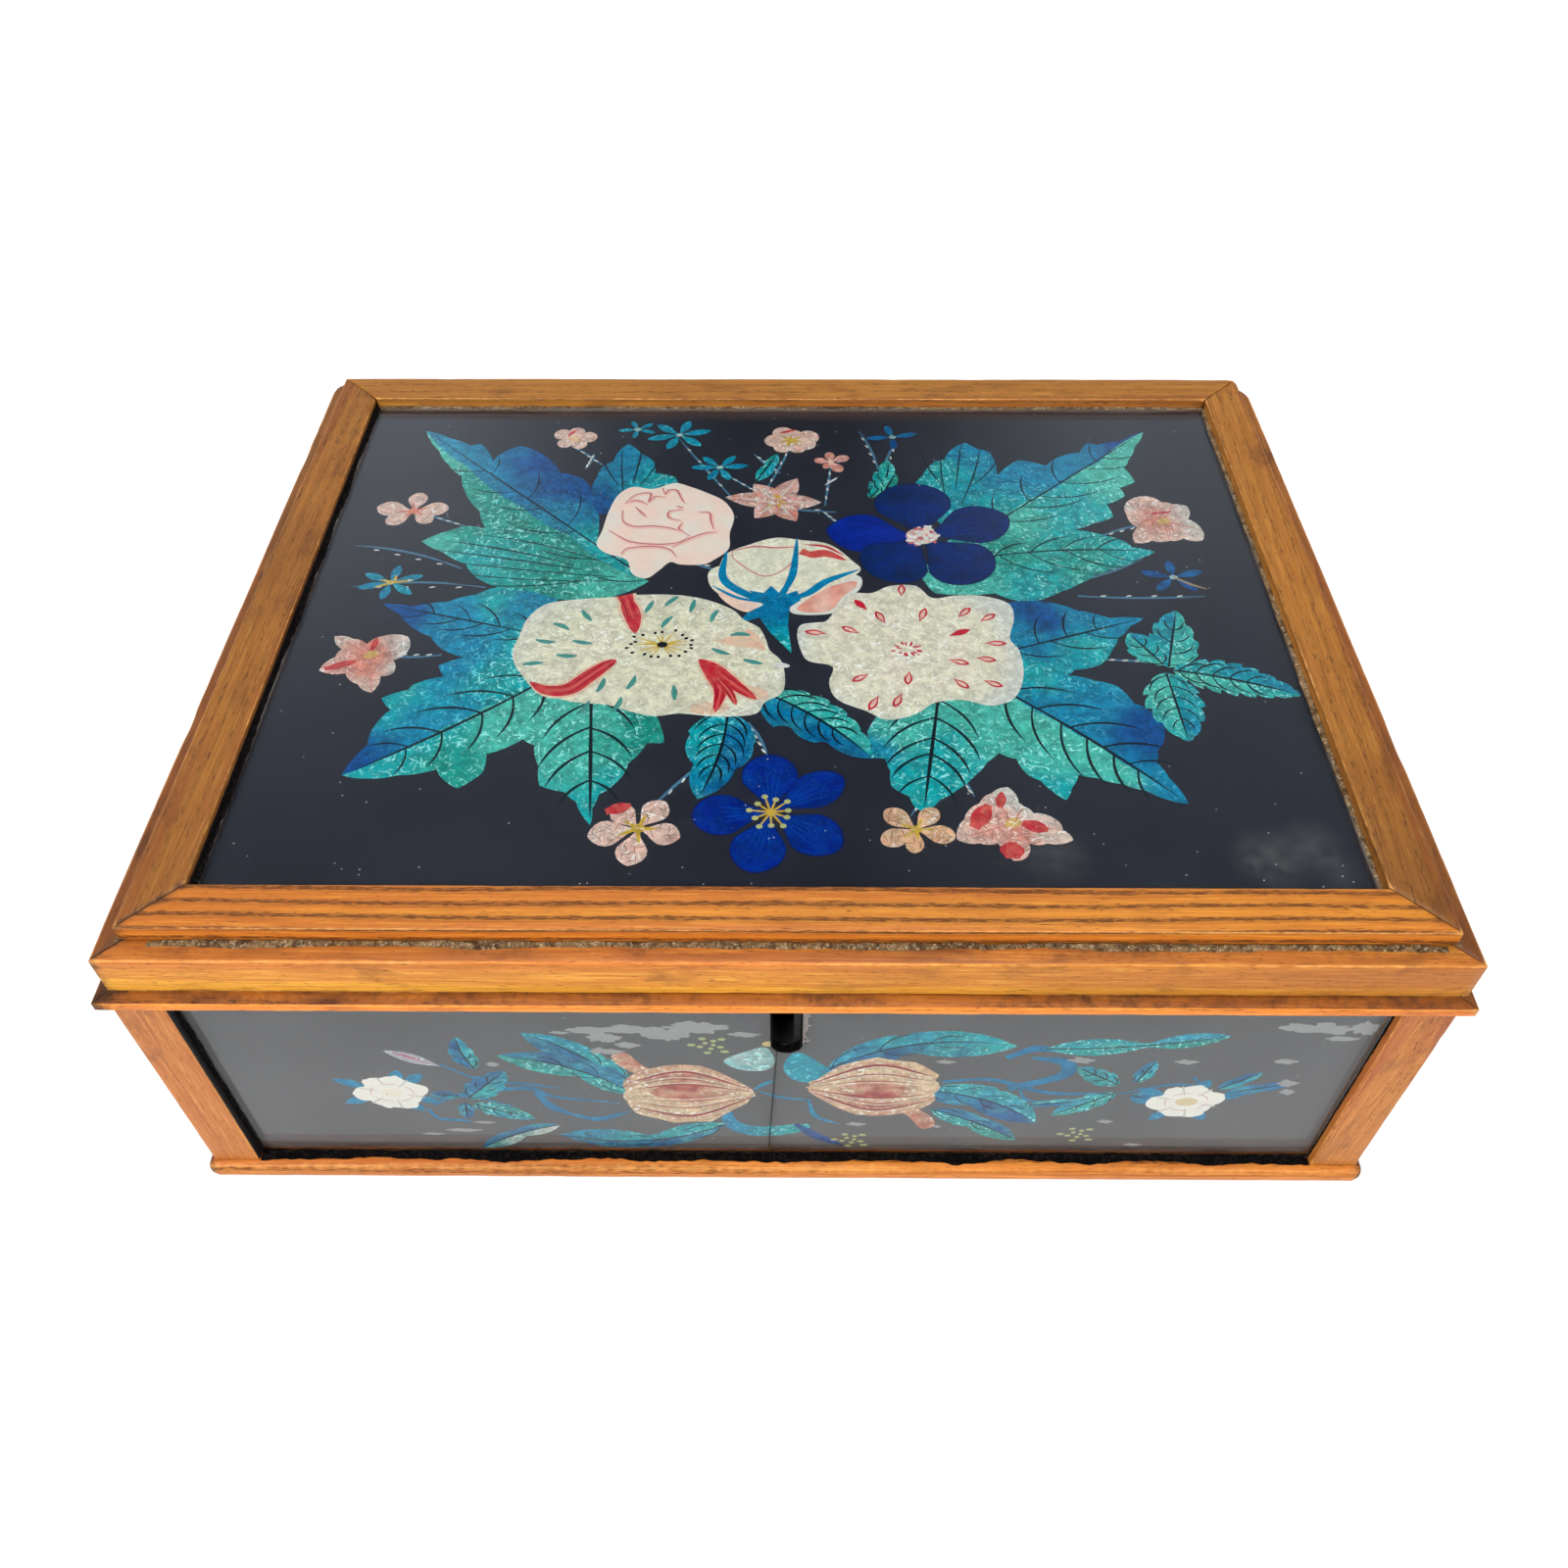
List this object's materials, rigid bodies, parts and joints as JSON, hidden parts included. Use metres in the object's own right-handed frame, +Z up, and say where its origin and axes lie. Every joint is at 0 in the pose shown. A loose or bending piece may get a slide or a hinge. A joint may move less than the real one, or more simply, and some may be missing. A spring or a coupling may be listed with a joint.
{
  "type": "trinket box",
  "caption": "Rectangular wooden trinket box with reverse-painted glass panels in mitred frames and a framed lid that lifts off.",
  "frame": {"origin": "middle of the underside, on the surface that the box stands on", "axes": "+X along the width, to the right seen from the front; +Y from the front with the keyhole to the back; +Z up"},
  "size_m": [0.2972, 0.2308, 0.0988],
  "materials": {
    "honey_wood": "worn satin varnish over honey-coloured ring-grained wood",
    "inner_wood": "dull, unvarnished brown wood",
    "clear_glass": "clear sheet glass, glossy, lightly scratched",
    "painted_panel": "black ground with translucent blue, green, cream and pink over crumpled foil, seen through the glass",
    "dust": "matt grey-brown dust and old putty in the joints"
  },
  "bodies": {
    "root": {"base_board": "honey_wood", "post_front_left": "honey_wood", "post_front_right": "honey_wood", "post_back_left": "honey_wood", "post_back_right": "honey_wood", "wall_front": "inner_wood", "wall_right": "inner_wood", "wall_back": "inner_wood", "wall_left": "inner_wood", "glass_front_left": "clear_glass", "glass_front_right": "clear_glass", "glass_right": "clear_glass", "glass_back": "clear_glass", "glass_left": "clear_glass", "rim_front": "honey_wood", "rim_right": "honey_wood", "rim_back": "honey_wood", "rim_left": "honey_wood", "lid_frame_front": "honey_wood", "lid_frame_right": "honey_wood", "lid_frame_back": "honey_wood", "lid_frame_left": "honey_wood", "lid_trim_front": "honey_wood", "lid_trim_right": "honey_wood", "lid_trim_back": "honey_wood", "lid_trim_left": "honey_wood", "lid_board": "inner_wood", "lid_glass": "clear_glass"}
  },
  "joints": []
}
